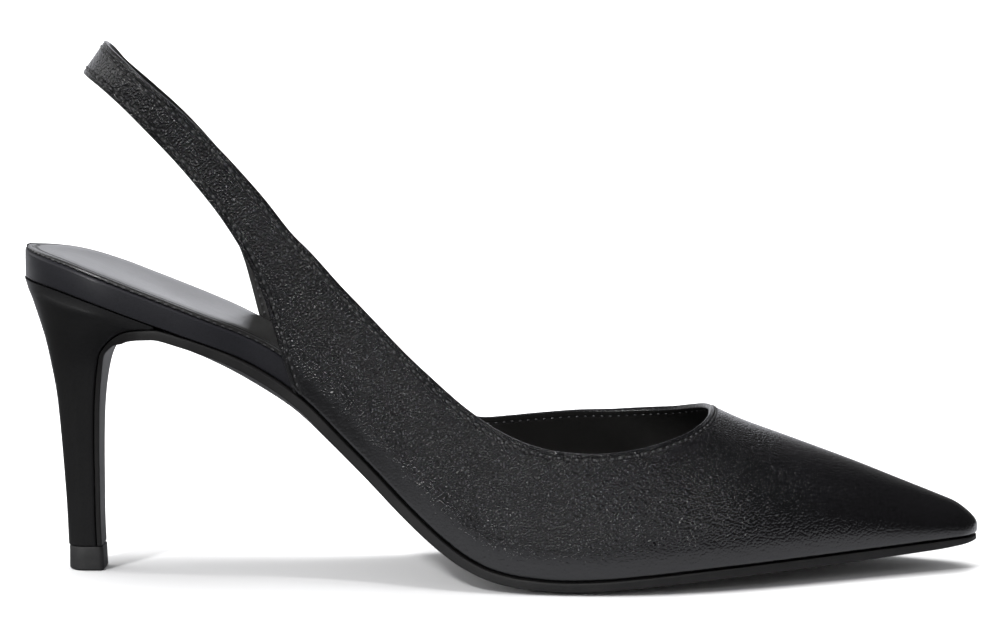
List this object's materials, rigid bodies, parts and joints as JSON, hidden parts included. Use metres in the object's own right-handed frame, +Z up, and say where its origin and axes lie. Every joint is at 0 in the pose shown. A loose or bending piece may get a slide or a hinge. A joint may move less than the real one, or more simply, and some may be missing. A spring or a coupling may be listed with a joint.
{
  "type": "slingback pump",
  "caption": "Pointed-toe slingback pump in smooth leather, cut open behind, with a covered slim high heel, a wrapped footbed and a thin outsole that runs down the front of the heel.",
  "frame": {"origin": "centre of the bounds in plan, on the plane that the forefoot and the heel tip stand on", "axes": "+X from the heel to the toe, +Y to the inner side of the foot (it is a right shoe), +Z up"},
  "size_m": [0.2384, 0.0738, 0.1323],
  "materials": {
    "upper_leather": "fine-grained black leather, half gloss",
    "outsole": "black dressed sole edge and underside",
    "footbed_leather": "smooth black leather wrapped over the footbed's edge",
    "sock_leather": "smooth black lining leather with a border seam",
    "heel_cover": "smooth black leather stretched over the heel",
    "heel_tip_rubber": "matte black top piece"
  },
  "bodies": {
    "root": {"upper": "upper_leather", "outsole": "outsole", "footbed": "footbed_leather", "insole_sock": "sock_leather", "heel": "heel_cover", "heel_tip": "heel_tip_rubber"}
  },
  "joints": []
}
